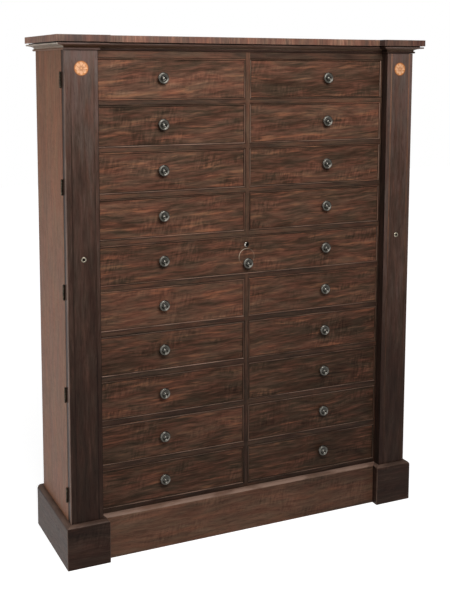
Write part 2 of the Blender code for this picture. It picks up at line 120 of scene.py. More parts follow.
def keep_flat(piece):
    """Shades rounded edges smooth and keeps broad faces flat."""
    crease = math.radians(50)
    piece.data.shade_smooth()
    piece.data.set_sharp_from_angle(angle=crease)
    flat_faces = piece.modifiers.new("flat_faces", "WEIGHTED_NORMAL")
    flat_faces.keep_sharp = True


def fit(name, joinery, finishes, body, nodes=()):
    """Makes a piece of its boards, fixes it to its body and takes the place of its CAD nodes."""
    mesh = bpy.data.meshes.new(name)
    mesh.from_pydata(joinery.points, [], joinery.faces)
    for label, values in (("grain", joinery.grain), ("tint", joinery.tint)):
        attribute = mesh.attributes.new(label, "FLOAT_VECTOR", "CORNER")
        attribute.data.foreach_set("vector", [number for value in values for number in value])
    for finish in finishes:
        mesh.materials.append(finish)
    mesh.polygons.foreach_set("material_index", joinery.finish)
    face_outward(mesh)
    piece = put_in_scene(name, mesh)
    keep_flat(piece)
    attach(piece, body)
    if nodes:
        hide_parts(*nodes)
    return piece


def board(low, high, ease=0.0008):
    """A planed board between two corners, with its edges eased."""
    points = []
    numbers = {}
    for corner in range(8):
        sides = [corner >> axis & 1 for axis in range(3)]
        for face_axis in range(3):
            point = []
            for axis in range(3):
                inset = 0 if axis == face_axis else ease
                point.append(high[axis] - inset if sides[axis] else low[axis] + inset)
            numbers[corner, face_axis] = len(points)
            points.append(point)
    plain = []
    eased = []
    for axis in range(3):
        one, other = (axis + 1) % 3, (axis + 2) % 3
        u, v = 1 << one, 1 << other
        for end in (0, 1 << axis):
            plain.append([numbers[end + step, axis] for step in (0, u, u + v, v)])
        for start in (0, u, v, u + v):
            far = start + (1 << axis)
            ends = ((start, one), (far, one), (far, other), (start, other))
            eased.append([numbers[end] for end in ends])
    eased += [[numbers[corner, axis] for axis in range(3)] for corner in range(8)]
    return points, plain, eased


def prism_faces(count):
    """Faces between two outlines of so many points, and the two end faces."""
    sides = [[k, (k + 1) % count, count + (k + 1) % count, count + k] for k in range(count)]
    return sides, [list(range(count)), list(range(count, 2 * count))]


def arc(middle, radii, turns, steps):
    """Points of an arc about a middle, by its radii across and up and its first and last turn."""
    points = []
    for step in range(steps + 1):
        turn = turns[0] + (turns[1] - turns[0]) * step / steps
        points.append((middle[0] + radii[0] * math.cos(turn), middle[1] + radii[1] * math.sin(turn)))
    return points


def stepped_plan(outer, front, block, recess, back):
    """Plan line from the left rear round the front to the right rear, stepping forward at the blocks."""
    inner = outer - block
    left = [(-outer, back), (-outer, front), (-inner, front), (-inner, recess)]
    return left + [(-x, y) for x, y in reversed(left)]


def mitred_runs(plan, section, brightened=(), ease=0.0008):
    """Lengths of one section along a plan line, mitred where they meet and eased at the outer corners."""
    plan = [Vector(point) for point in plan]
    ways = [(far - near).normalized() for near, far in zip(plan, plan[1:])]
    outward = [Vector((way.y, -way.x)) for way in ways]
    mitres = [outward[0]]
    for one, other in zip(outward, outward[1:]):
        mitres.append((one + other) / (1 + one.dot(other)))
    mitres.append(outward[-1])
    turns_out = [False] + [one.cross(other) > 0 for one, other in zip(ways, ways[1:])] + [False]
    outmost = max(reach for reach, _ in section)
    count = len(section)
    faces, ends = prism_faces(count)

    def section_end(end, way):
        spots = []
        for reach, height in section:
            pull = max(0.0, ease - outmost + reach) if turns_out[end] else 0.0
            spot = plan[end] + mitres[end] * reach + way * pull
            spots.append((spot.x, spot.y, height))
        return spots

    runs = []
    for number, way in enumerate(ways):
        points = section_end(number, way) + section_end(number + 1, -way)
        plain = [face for k, face in enumerate(faces) if k not in brightened] + ends
        eased = [faces[k] for k in brightened]
        if turns_out[number + 1]:
            beyond = list(range(count, 2 * count))
            for k, spot in enumerate(section_end(number + 1, ways[number + 1])):
                if outmost - section[k][0] < ease:
                    beyond[k] = len(points)
                    points.append(spot)
            for k in range(count - 1):
                face = list(dict.fromkeys([count + k, count + k + 1, beyond[k + 1], beyond[k]]))
                if len(face) > 2:
                    eased.append(face)
        runs.append(((points, plain, eased), "x" if abs(way.x) > abs(way.y) else "y"))
    return runs


def middle_x(shape):
    return sum(point[0] for point in shape[0]) / len(shape[0])


class Signal:
    """What a shader socket gives, to reckon with like a number."""

    def __init__(self, socket):
        self.socket = socket
        self.tree = socket.id_data

    def reckon(self, operation, other=0.0):
        return add_node(self.tree, "Math", {0: self, 1: other}, operation=operation)

    def __add__(self, other):
        return self.reckon("ADD", other)

    def __sub__(self, other):
        return self.reckon("SUBTRACT", other)

    def __rsub__(self, other):
        return add_node(self.tree, "Math", {0: other, 1: self}, operation="SUBTRACT")

    def __mul__(self, other):
        return self.reckon("MULTIPLY", other)


def feed(node, inputs):
    """Feeds a node's sockets with numbers, colours or signals."""
    for socket, value in inputs.items():
        if isinstance(value, Signal):
            value.tree.links.new(value.socket, node.inputs[socket])
        else:
            node.inputs[socket].default_value = value


def add_node(tree, kind, inputs=None, output=0, **options):
    """Adds a shader node and gives the signal of one of its outputs."""
    made = tree.nodes.new("ShaderNode" + kind)
    for option, value in options.items():
        setattr(made, option, value)
    feed(made, inputs or {})
    return Signal(made.outputs[output])


def axes(place):
    parts = add_node(place.tree, "SeparateXYZ", {0: place})
    return [Signal(socket) for socket in parts.socket.node.outputs]


def chest_place(tree):
    return add_node(tree, "TexCoord", output="Object")


def stretched(place, along, across):
    return add_node(place.tree, "VectorMath", {0: place, 1: (along, across, across)}, operation="MULTIPLY")


def noise(place, along, across, detail=2.0):
    """Noise drawn out along the grain, given its marks per metre along and across."""
    inputs = {"Vector": stretched(place, along, across), "Scale": 1.0, "Detail": detail}
    return add_node(place.tree, "TexNoise", inputs, "Fac")


def spread(value, low, high, first=0.0, last=1.0, kind="SMOOTHSTEP"):
    """Takes the part of a value between two levels out to a whole range."""
    inputs = {"Value": value, "From Min": low, "From Max": high, "To Min": first, "To Max": last}
    return add_node(value.tree, "MapRange", inputs, interpolation_type=kind)


def paint(colour):
    """A colour given in thousandths."""
    return (*(part / 1000 for part in colour), 1)


def tones(value, stops):
    ramp = add_node(value.tree, "ValToRGB", {"Fac": value}, "Color")
    elements = ramp.socket.node.color_ramp.elements
    elements[0].position, elements[-1].position = stops[0][0], stops[-1][0]
    for position, _ in stops[1:-1]:
        elements.new(position)
    for element, (_, colour) in zip(elements, stops):
        element.color = paint(colour)
    return ramp


def blend(share, first, second, kind="MIX"):
    inputs = {0: share, 6: first, 7: second if isinstance(second, Signal) else paint(second)}
    return add_node(first.tree, "Mix", inputs, 2, data_type="RGBA", blend_type=kind)


def bumps(height, strength, distance):
    return add_node(height.tree, "Bump", {"Height": height, "Strength": strength, "Distance": distance})


def new_finish(name):
    material = bpy.data.materials.new(name)
    material.use_nodes = True
    return material, material.node_tree, material.node_tree.nodes["Principled BSDF"]


def coat(surface, colour, dull, gloss, others):
    feed(surface, {"Base Color": colour, "Roughness": dull, "Specular IOR Level": gloss, **others})


def board_grain(tree):
    """Where the grain of each board runs, and its paleness, figure, and wear with painted sheen."""
    grain, tint = (
        add_node(tree, "Attribute", output="Vector", attribute_name=label) for label in ("grain", "tint")
    )
    return grain, *axes(tint)


def swayed(grain, across, depth):
    """The grain's place moved aside, so that its lines waver."""
    offset = add_node(grain.tree, "CombineXYZ", {1: across, 2: depth})
    return add_node(grain.tree, "VectorMath", {0: grain, 1: offset}, operation="ADD")


def mahogany(name, stops, warm, polish, gloss, streaks=1.0, grain_from=board_grain):
    """Polished mahogany: wavering streaks, warm lights, figure across them, open pores, and edges paled by
    wear and by painted highlights.
    """
    material, tree, surface = new_finish(name)
    grain, pale, figured, wear_sheen_share = grain_from(tree)
    sway = noise(grain, 3.4, 7) * 0.034 - 0.017
    ripple = noise(grain, 26, 24, 1) * 0.004 - 0.002
    place = swayed(grain, sway + ripple, sway)
    broad = noise(place, 2.6, 15)
    coarse = noise(place, 11, 104, 3)
    fine = noise(place, 22, 270)
    slanting = add_node(tree, "VectorRotate", {"Vector": place, "Angle": 0.22}, rotation_type="Z_AXIS")
    mottle = spread(noise(slanting, 140, 34), 0.3, 0.7)
    patches = spread(noise(grain, 8, 18, 1), 0.46, 0.64)
    tone = (coarse * 0.95 + fine * 0.7 - 0.825) * streaks + broad * 0.7 - 0.35
    tone = tone + (mottle - 0.5) * figured * patches + pale
    lights = spread(noise(place, 8, 78), 0.53, 0.68) * spread(tone, 0.2, 0.75)
    colour = blend(lights * (0.66 * streaks), tones(tone, stops), warm)
    cast = tones(noise(place, 11, 46), [(0.36, (1050, 880, 860)), (0.64, (880, 970, 970))])
    colour = blend(streaks, colour, cast, "MULTIPLY")
    pores = spread(noise(place, 42, 950, 1), 0.56, 0.74) * 0.5
    colour = blend(pores, colour, (12, 6, 4))
    # Edges go paler by a share that holds both real wear and painted highlights where edges and beads catch
    # the light.
    patchy = spread(noise(grain, 9, 30, 3), 0.36, 0.6)
    brightened = (patchy * 0.7 + 0.3) * wear_sheen_share
    colour = blend(brightened, colour, (268, 172, 130))
    dull = broad * 0.16 + pores * 0.3 + (polish - 0.08)
    relief = bumps(fine * 0.5 - pores, 0.16, 0.0005)
    coat(surface, colour, dull, gloss, {"Normal": relief})
    return material


luck = random.Random(1840)


def elsewhere():
    """A place in the log that no other board was cut from."""
    return luck.uniform(3, 60), luck.uniform(3, 60), luck.uniform(3, 60)


dark_mahogany = mahogany(
    "dark_mahogany",
    [(0.0, (15, 9, 7)), (0.4, (41, 23, 17)), (0.62, (68, 40, 30)), (1.0, (122, 84, 72))],
    warm=(110, 57, 39), polish=0.42, gloss=0.06, streaks=0.6,
)


def plinth_grain(tree):
    """The grain of the plinth's boards, painted darker towards the right as shade."""
    grain, pale, figured, wear_sheen_share = board_grain(tree)
    # Paleness falls towards the right: painted shade.
    x, _, _ = axes(chest_place(tree))
    return grain, x * -0.22 + pale, figured, wear_sheen_share


plinth_mahogany = mahogany(
    "plinth_mahogany",
    [(0.0, (24, 13, 9)), (0.35, (66, 36, 24)), (0.60, (120, 63, 41)), (1.0, (220, 122, 80))],
    warm=(190, 90, 53), polish=0.44, gloss=0.06, streaks=0.7, grain_from=plinth_grain,
)
aged_pine, tree, surface = new_finish("aged_pine")
grain, pale, _, wear_sheen_share = board_grain(tree)
sway = noise(grain, 2.6, 7) * 0.05 - 0.025
place = swayed(grain, sway, sway)
rings = noise(place, 1.6, 105)
broad = noise(grain, 3, 6, 3)
pine_tones = [(0.0, (130, 70, 32)), (0.5, (300, 185, 95)), (1.0, (440, 300, 165))]
colour = tones(rings * 1.1 + broad * 0.8 - 0.95 + pale, pine_tones)
knots = add_node(tree, "TexVoronoi", {"Vector": stretched(place, 3.1, 8.5), "Scale": 1.0}, "Distance")
knots = 1.0 - spread(knots, 0.05, 0.13)
colour = blend(knots * 0.8, colour, (85, 40, 18))
grime = spread(noise(grain, 5, 5, 4), 0.5, 0.72)
colour = blend(grime * 0.45, colour, (100, 70, 45))
colour = blend(wear_sheen_share * 0.4, colour, (500, 360, 220))
coat(surface, colour, rings * 0.2 + 0.6, 0.25, {"Normal": bumps(rings, 0.25, 0.0006)})

plinth_low, plinth_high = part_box("plinth")
plinth_wall = 0.046
plinth_round = 0.012
plinth_block = 0.127
plinth_recess = plinth_low.y + 0.025
plinth_ease = 0.0012
foot_ease = 0.0015
between_blocks = 0.3
plinth_section = [(-plinth_wall, 0.0), (-foot_ease, 0.0), (0.0, foot_ease)]
round_middle = (-plinth_round, plinth_high.z - plinth_round)
plinth_section += arc(round_middle, (plinth_round, plinth_round), (0, math.pi / 2), 6)
plinth_section.append((-plinth_wall, plinth_high.z))
# The upper faces of the rounded top are paled both as wear and as a painted highlight where they face the
# lamp.
worn_and_lit_top = range(5, 10)
plinth_plan = stepped_plan(plinth_high.x, plinth_low.y, plinth_block, plinth_recess, plinth_high.y)
plinth_boards = Joinery()
for shape, along in mitred_runs(plinth_plan, plinth_section, worn_and_lit_top, plinth_ease):
    off_middle = abs(middle_x(shape))
    is_front = along == "x" and off_middle < between_blocks
    is_side = along == "y" and off_middle > plinth_high.x - plinth_wall
    paleness, wear_and_sheen = (0.62, 1.2) if is_front else (0.57, 0.3) if is_side else (0.35, 0.5)
    plinth_boards.add(shape, along, elsewhere(), paleness, 0.2, wear_and_sheen, finish=2 if is_front else 0)
rear_low = (plinth_wall - plinth_high.x, plinth_high.y - plinth_wall, 0)
rear_high = (plinth_high.x - plinth_wall, plinth_high.y, plinth_high.z)
plinth_boards.add(board(rear_low, rear_high), "x", elsewhere(), 0.3, wear_and_sheen=0.5, finish=1)
plinth_finishes = [dark_mahogany, aged_pine, plinth_mahogany]
fit("plinth_boards", plinth_boards, plinth_finishes, "carcass", ["plinth"])

# Side panels
# Each end of the carcass is a wide mahogany panel, planed, polished and faded a lighter brown,
# with upright grain. The panels are housed between plinth and top.

polished_mahogany = mahogany(
    "polished_mahogany",
    [(0.0, (95, 38, 19)), (0.42, (180, 78, 40)), (0.62, (230, 106, 57)), (1.0, (330, 170, 95))],
    warm=(290, 120, 60), polish=0.46, gloss=0.10, streaks=0.7,
)
panel_seam = 0.17
panel_ease = 0.0004
panel_paler_head = 0.14
for word in ("left", "right"):
    name = f"side_panel_{word}"
    low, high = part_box(name)
    seam = low.y + panel_seam
    front_board = board(low, (high.x, seam, high.z), panel_ease)
    rear_board = board((low.x, seam, low.z), high, panel_ease)
    panel = Joinery()
    panel.add(front_board, "z", elsewhere(), 0.54, 0.1, paler_head=panel_paler_head)
    panel.add(rear_board, "z", elsewhere(), 0.50, 0.1, wear_and_sheen=0.2, paler_head=panel_paler_head)
    fit(f"{name}_boards", panel, [polished_mahogany], "carcass", [name])

# Back
# Upright pine boards, tongued and grooved, nailed to the rear edges of the frame and left bare.

back_low, back_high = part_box("back_panel")
back_count = 8
back_gap = 0.0003
back_ease = 0.0022
back_width = (back_high.x - back_low.x) / back_count
back_boards = Joinery()
for number in range(back_count):
    near = back_low.x + number * back_width
    low = (near + back_gap, back_low.y, back_low.z)
    high = (near + back_width - back_gap, back_high.y, back_high.z)
    plank = board(low, high, back_ease)
    back_boards.add(plank, "z", elsewhere(), luck.uniform(0.35, 0.62), wear_and_sheen=0.25)
fit("back_boards", back_boards, [aged_pine], "carcass", ["back_panel"])

# Drawer frame
# Rails with dust boards behind them, posts and a centre divider are housed and glued into one frame.
# Their front edges are mahogany, and the wood behind is bare pine.


def frame_grain(tree):
    """Upright grain in posts and divider, level grain in the rails, and painted light: paler by height and
    to the left.
    """
    x, y, z = axes(chest_place(tree))
    level = add_node(tree, "CombineXYZ", {0: x, 1: z, 2: y})
    upright = add_node(tree, "CombineXYZ", {0: z, 1: x, 2: y})
    off_centre = x.reckon("ABSOLUTE")
    post = off_centre.reckon("GREATER_THAN", post_edge - edge_play)
    divider = off_centre.reckon("LESS_THAN", divider_edge + edge_play)
    stands = post.reckon("MAXIMUM", divider)
    grain = add_node(tree, "Mix", {0: stands, 4: level, 5: upright}, 1, data_type="VECTOR")
    # Painted light and shade: the divider and rails are paler higher up and to the left, and the top rail is
    # a little darker and paler to the right instead.
    lit = divider * (spread(z, *lit_divider) * 0.35 - 0.05)
    top_rail = spread(z, *top_rail_foot) - spread(z, *top_rail_head)
    leftward = spread(z, *middle_rows) - top_rail * 1.9
    height_light = z.reckon("MINIMUM", height_light_end) * 0.30 + 0.16 - top_rail * 0.09
    paleness = lit * 0.34 + x * -0.26 * leftward + height_light + noise(level, 14, 40) * 0.3
    return grain, paleness, 0.1, 0.0


def cover(material, share, colour):
    """Lays another colour over a finish, by a share at each place."""
    surface = material.node_tree.nodes["Principled BSDF"]
    under = Signal(surface.inputs["Base Color"].links[0].from_socket)
    feed(surface, {"Base Color": blend(share, under, colour)})


def dress_node(name, material):
    """Gives its finish to a CAD node that stays in view."""
    materials = frame["nodes"][name].data.materials
    materials.clear()
    materials.append(material)


post_edge = 0.468
divider_edge = 0.006
edge_play = 0.0005
lit_divider = (0.4, 1.35)
middle_rows = (0.35, 0.70)
height_light_end = 1.15
top_rail_foot = (1.20, 1.30)
top_rail_head = (1.38, 1.44)
rail_mahogany = mahogany(
    "rail_mahogany",
    [(0.0, (20, 11, 8)), (0.45, (50, 29, 20)), (1.0, (130, 70, 44))],
    warm=(130, 60, 35), polish=0.45, gloss=0.08, streaks=0.9, grain_from=frame_grain,
)
frame_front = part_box("drawer_frame_lower")[0].y
facing_depth = 0.045
place = chest_place(rail_mahogany.node_tree)
_, depth, _ = axes(place)
behind = depth.reckon("GREATER_THAN", frame_front + facing_depth)
bare_tones = [(0.3, (160, 90, 45)), (0.7, (360, 230, 120))]
cover(rail_mahogany, behind, tones(noise(place, 2.5, 40, 3), bare_tones))
for part in ("lower", "upper"):
    dress_node(f"drawer_frame_{part}", rail_mahogany)

# Cornice
# A moulding of dark mahogany runs round the front and sides below the top, mitred at every corner:
# a small bead, a deep cove and a fillet, with a narrow quirk under the top. It is glued on.


def strip_section(near, far, low, high, ease=0.0):
    """Section of a flat strip, with its two outer corners eased if asked."""
    outer = [(far, low), (far, high)]
    if ease:
        outer = [(far - ease, low), (far, low + ease), (far, high - ease), (far - ease, high)]
    return [(near, low), *outer, (near, high)]


cornice_low, cornice_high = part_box("cornice_moulding")
pilaster_low, pilaster_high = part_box("pilaster_left")
bead_reach = 0.0056
bead_radius = 0.0030
cove_foot = 0.0012
cove_reach = 0.0248
quirk_depth = 0.0160
cornice_wall = -0.004
cornice_foot = cornice_low.z + 0.0022
cornice_back = cornice_high.y + 0.0145
bead_top = cornice_foot + 2 * bead_radius
cove_low = bead_top + 0.0012
cove_high = cornice_high.z - 0.0088
quirk_low = cornice_high.z - 0.0043
quirk_high = cornice_high.z - 0.0012
arris = 0.0006
bead_middle = (bead_reach - bead_radius, cornice_foot + bead_radius)
bead_section = [(cornice_wall, cornice_foot)]
bead_section += arc(bead_middle, (bead_radius, bead_radius), (-math.pi / 2, math.pi / 2), 8)
bead_section.append((cornice_wall, bead_top))
cove_radii = (cove_foot - cove_reach, cove_high - cove_low)
cove_section = [(cornice_wall, bead_top), (cove_foot, bead_top)]
cove_section += arc((cove_reach, cove_low), cove_radii, (0, math.pi / 2), 10)[:-1]
cove_section += [(cove_reach - arris, cove_high), (cornice_wall, cove_high)]
fillet_section = strip_section(cornice_wall, cove_reach, cove_high, quirk_low, arris)
quirk_section = strip_section(cornice_wall, quirk_depth, quirk_low, quirk_high)
stile_width = pilaster_high.x - pilaster_low.x
cornice_plan = stepped_plan(-pilaster_low.x, pilaster_low.y, stile_width, frame_front, cornice_back)
cornice_side = 0.05 - pilaster_high.x
# A paler finish that paints the cornice's sheen and reflections.
painted_sheen_mahogany = mahogany(
    "painted_sheen_mahogany",
    [(0.0, (150, 75, 44)), (0.4, (210, 120, 80)), (0.7, (300, 225, 170)), (1.0, (500, 440, 370))],
    warm=(310, 200, 140), polish=0.5, gloss=0.08, streaks=0.4,
)
cornice = Joinery()
# Paleness and finish of each part, on the front's left block, middle and right block and on the returns:
# painted light and shade, with the quirk darkened as shade, the front cove lightened, and the returns'
# fillet and cove pale as a painted reflection.
for section, front_finish, on_left, in_middle, on_right, side_finish, on_side in (
    (bead_section, 0, 1.0, 0.36, 0.5, 1, 0.25),
    (cove_section, 1, 0.0, 0.45, 0.5, 1, 0.8),
    (fillet_section, 0, 0.85, 0.6, 0.8, 1, 1.0),
    (quirk_section, 0, 0.2, 0.3, 0.5, 0, -0.3),
):
    for shape, along in mitred_runs(cornice_plan, section):
        spot = middle_x(shape)
        paleness, finish = 0.2, 0
        if along == "x":
            paleness = in_middle if abs(spot) < between_blocks else on_left if spot < 0 else on_right
            finish = front_finish
        elif abs(spot) > cornice_side:
            paleness, finish = on_side, side_finish
        cornice.add(shape, along, elsewhere(), paleness, finish=finish)
cornice_finishes = [dark_mahogany, painted_sheen_mahogany]
fit("cornice_run", cornice, cornice_finishes, "carcass", ["cornice_moulding"])

# Top
# A flat board with its front and side edges faced in cross-cut veneer, whose short upright grain
# shows as stripes, and a narrow cross-banding round its upper face. It is screwed down from below.

cross_banding = mahogany(
    "cross_banding",
    [(0.0, (60, 35, 29)), (0.4, (142, 74, 52)), (0.65, (240, 128, 86)), (1.0, (420, 255, 175))],
    warm=(300, 125, 70), polish=0.42, gloss=0.18, streaks=0.9,
)
top_low, top_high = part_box("top_board")
band_inner = -0.034
edge_veneer = 0.003
band_low = top_high.z - 0.0012
top_recess = top_low.y + 0.030
top_block = 0.150
top_ease = 0.0002
top_side = top_high.x - 0.05
top_plan = stepped_plan(top_high.x, top_low.y, top_block, top_recess, top_high.y)
edge_section = strip_section(-edge_veneer, 0.0, quirk_high, top_high.z, arris)
edge_corners = (1, 3)
band_section = strip_section(band_inner, -edge_veneer, band_low, top_high.z)
core_section = strip_section(band_inner, -edge_veneer, top_low.z, band_low)
top = Joinery()
for shape, along in mitred_runs(top_plan, edge_section, edge_corners):
    off_middle = abs(middle_x(shape))
    if along == "y":
        paleness = 0.62 if off_middle >= top_side else -0.1
    else:
        paleness = 0.46 if off_middle < between_blocks else 0.18
    top.add(shape, "z", elsewhere(), paleness, wear_and_sheen=0.3, finish=1)
for shape, along in mitred_runs(top_plan, band_section):
    top.add(shape, "y" if along == "x" else "x", elsewhere(), 0.45, finish=1)
for shape, along in mitred_runs(top_plan, core_section):
    top.add(shape, along, elsewhere(), 0.35)
field_edge = top_high.x + band_inner
field_front = top_recess - band_inner
field_seam = field_front + 0.15
block_front = top_low.y - band_inner
block_inner = top_high.x - top_block - band_inner
for left, right, front, back in (
    (-field_edge, field_edge, field_front, field_seam),
    (-field_edge, field_edge, field_seam, top_high.y),
    (-field_edge, -block_inner, block_front, field_front),
    (block_inner, field_edge, block_front, field_front),
):
    plank = board((left, front, top_low.z), (right, back, top_high.z), top_ease)
    top.add(plank, "x", elsewhere(), 0.5, 0.1, wear_and_sheen=0.1)
fit("top_boards", top, [polished_mahogany, cross_banding], "carcass", ["top_board"])

# Drawers
# Each front is a figured mahogany veneer on a solid ground, edged with a thin half-round cock bead.
# The linings are lapped and dovetailed into the front, and the base board runs in grooves.


def off_axis(x, z):
    return (x * x + z * z).reckon("SQRT")


figured_mahogany = mahogany(
    "figured_mahogany",
    [
        (0.0, (24, 14, 9)), (0.28, (58, 33, 21)), (0.50, (103, 52, 34)),
        (0.72, (160, 78, 49)), (1.0, (270, 140, 86)),
    ],
    warm=(275, 124, 66), polish=0.40, gloss=0.05,
)
ring_height = 0.849
ring_radius = 0.0252
x, _, z = axes(chest_place(figured_mahogany.node_tree))
up = z - ring_height
off_line = (off_axis(x, up) - ring_radius).reckon("ABSOLUTE")
# A ring mark in the veneer of the wide drawer, painted brighter on its upper left as a highlight.
clear = spread(up - x, 0.014, 0.035) * 0.80 + 0.18
ring_mark_and_glint = (1.0 - spread(off_line, 0.0003, 0.0013)) * clear
cover(figured_mahogany, ring_mark_and_glint, (520, 420, 320))
bead_width = 0.0045
bead_quirk = 0.0009
bead_rise = 0.002
field_thickness = 0.018
veneer_depth = 0.0095
ground_gap = 0.0002
lining_gap = 0.0003
lining_thickness = 0.010
lining_drop = 0.0015
back_drop = 0.004
base_thickness = 0.006
groove_depth = 0.004
tails = 3
tail_depth = 0.012
tail_lap = 0.004
tail_root = 0.008
tail_tip = 0.0125
tail_sink = 0.0004
base_tuck = 0.001
base_rise = 0.0012
base_short = 0.0005
veneer_ease = 0.0003
square_ease = 0.0004
lining_ease = 0.0014
rear_ease = 0.0012
hair = 0.0001
first_row = 1.3
bead_scatter = random.Random(7)
bead_crown = [(0.0, -veneer_depth), (0.0, 0.0004), (0.0005, 0.0012), (0.0013, 0.0018), (0.00225, 0.002)]
bead_crown += [(0.0032, 0.0018), (0.0040, 0.0012), (0.0045, 0.0004), (0.0045, -veneer_depth)]


def bead_runs(low, high, field):
    """Four lengths of half-round bead, mitred round the edge of a drawer front."""
    corners = [(low.x, low.z, 1, 1), (high.x, low.z, -1, 1)]
    corners += [(high.x, high.z, -1, -1), (low.x, high.z, 1, -1)]
    sides, ends = prism_faces(len(bead_crown))
    runs = []
    for number in range(4):
        points = []
        for x, z, side, up in (corners[number], corners[(number + 1) % 4]):
            points += [(x + side * across, field - rise, z + up * across) for across, rise in bead_crown]
        runs.append(((points, sides[:3] + sides[6:] + ends, sides[3:6]), "xz"[number % 2]))
    return runs


def bead_looks(low, high):
    """Tone against the front, and rub, of the bottom, right, top and left beads: the darker tones are
    painted shade, most beside the left pilaster, and the rubs are wear with painted highlights where the
    beads catch the light.
    """
    bottom = (-0.15, 0.1 if low.z > first_row else 0.5 if high.x > 0 else 0.75)
    top = (-0.1, max(0.05, 0.8 - 0.7 * high.z))
    beside_divider = max(0.24, low.z * 0.95 - 0.65)
    if low.x > 0:
        return bottom, (-0.15, max(0.15, low.z * 1.3 - 0.85)), top, (-0.2, beside_divider)
    return bottom, (-0.15, beside_divider), top, (-0.35, 0.2)


def prism(near, far):
    """A solid between two outlines."""
    sides, ends = prism_faces(len(near))
    return near + far, sides + ends, []


def build_drawer(node, paleness, figure, slant):
    low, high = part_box(node)
    field = low.y + bead_rise
    front_back = field + field_thickness
    front = Joinery()
    inset = bead_width + bead_quirk
    veneer_low = (low.x + inset, field, low.z + inset)
    veneer_high = (high.x - inset, field + veneer_depth, high.z - inset)
    front.add(board(veneer_low, veneer_high, veneer_ease), "x", elsewhere(), paleness, figure, turn=slant)
    ground_low = (low.x + ground_gap, field + veneer_depth, low.z + ground_gap)
    ground_high = (high.x - ground_gap, front_back + hair, high.z - ground_gap)
    front.add(board(ground_low, ground_high, square_ease), "x", elsewhere(), 0.4, wear_and_sheen=0.2)
    for (shape, along), (darker, rub_and_sheen) in zip(bead_runs(low, high, field), bead_looks(low, high)):
        rub_and_sheen *= bead_scatter.uniform(0.6, 1.3)
        front.add(shape, along, elsewhere(), paleness + darker, wear_and_sheen=rub_and_sheen)
    box = Joinery()
    box_top = high.z - lining_drop
    for near in (low.x + lining_gap, high.x - lining_gap - lining_thickness):
        lining = board((near, front_back, low.z), (near + lining_thickness, high.y, box_top), lining_ease)
        box.add(lining, "y", elsewhere(), 0.5, wear_and_sheen=0.5)
    left = low.x + lining_thickness
    right = high.x - lining_thickness
    base_top = low.z + base_thickness
    rear_low = (left, high.y - lining_thickness, base_top)
    rear = board(rear_low, (right, high.y, box_top - back_drop), rear_ease)
    box.add(rear, "x", elsewhere(), 0.45, wear_and_sheen=0.4)
    base_low = (left - groove_depth, front_back - base_tuck, low.z + base_rise)
    base_high = (right + groove_depth, high.y - base_short, base_top)
    box.add(board(base_low, base_high, square_ease), "x", elsewhere(), 0.55)
    pitch = (high.z - low.z - 2 * tail_lap) / tails
    root = front_back + tail_sink
    tip = front_back - tail_depth
    for number in range(tails):
        middle = low.z + tail_lap + pitch * (number + 0.5)
        outline = ((root, -tail_root), (root, tail_root), (tip, tail_tip), (tip, -tail_tip))
        for outer, inner in ((low.x + hair, low.x + tail_lap), (high.x - tail_lap, high.x - hair)):
            near, far = ([(x, y, middle + up) for y, up in outline] for x in (outer, inner))
            box.add(prism(near, far), "y", elsewhere(), 0.45)
    fit(f"{node}_box", box, [aged_pine], node)
    return fit(f"{node}_front", front, [figured_mahogany], node, [node])


drawer_looks = {
    1: ((0.55, 0.22, 0.085), (0.38, 0.22, 0.050)),
    2: ((0.41, 0.24, 0.075), (0.51, 0.26, 0.060)),
    3: ((0.47, 0.24, 0.060), (0.46, 0.25, 0.040)),
    4: ((0.51, 0.26, 0.045), (0.40, 0.28, 0.050)),
    6: ((0.56, 0.25, 0.030), (0.47, 0.26, 0.035)),
    7: ((0.36, 0.25, 0.035), (0.39, 0.25, 0.045)),
    8: ((0.38, 0.25, 0.020), (0.28, 0.25, 0.030)),
    9: ((0.40, 0.20, 0.030), (0.35, 0.20, 0.040)),
    10: ((0.36, 0.20, 0.020), (0.29, 0.20, 0.030)),
}
for column, word in enumerate(("left", "right")):
    for row, looks in drawer_looks.items():
        build_drawer(f"drawer_{word}_{row:02d}", *looks[column])
wide_front = build_drawer("drawer_wide", 0.47, 0.26, 0.045)

# Knobs
# Turned in hardwood, ebonised and polished: a broad rounded rim round a dished face with a small
# button, a waisted neck and a rose against the drawer front. The rim carries painted highlights at
# the lower right and upper left, the dish is painted dark as shade, and the pale button is partly a painted
# highlight.


def turned(profile, steps):
    """A turned form about the line that comes out of the front; profile is radius and reach."""
    points = []
    rings = []
    for radius, reach in profile:
        if radius == 0:
            rings.append([len(points)] * steps)
            points.append((0.0, -reach, 0.0))
            continue
        rings.append(list(range(len(points), len(points) + steps)))
        for step in range(steps):
            turn = 2 * math.pi * step / steps
            points.append((radius * math.cos(turn), -reach, radius * math.sin(turn)))
    faces = []
    for one, other in zip(rings, rings[1:]):
        for step in range(steps):
            after = (step + 1) % steps
            face = [one[step], one[after], other[after], other[step]]
            faces.append(list(dict.fromkeys(face)))
    return points, faces, []


rim_radius = 0.0165
knob_reach = 0.0155
ebonised, tree, surface = new_finish("ebonised_wood")
place = chest_place(tree)
x, _, z = axes(place)
radius = off_axis(x, z)
rubbing = noise(place, 420, 420)
zone = rubbing * 0.12 + radius.reckon("DIVIDE", rim_radius)
# Tones out from the axis: a pale button that is partly a painted highlight, a dish painted near black as
# shade, a grey rim and a darker outer edge.
knob_colour = tones(
    zone,
    [
        (0.17, (360, 335, 285)), (0.26, (6, 6, 5)), (0.58, (7, 7, 5)),
        (0.74, (36, 34, 27)), (0.92, (40, 37, 30)), (1.06, (14, 12, 10)),
    ],
)
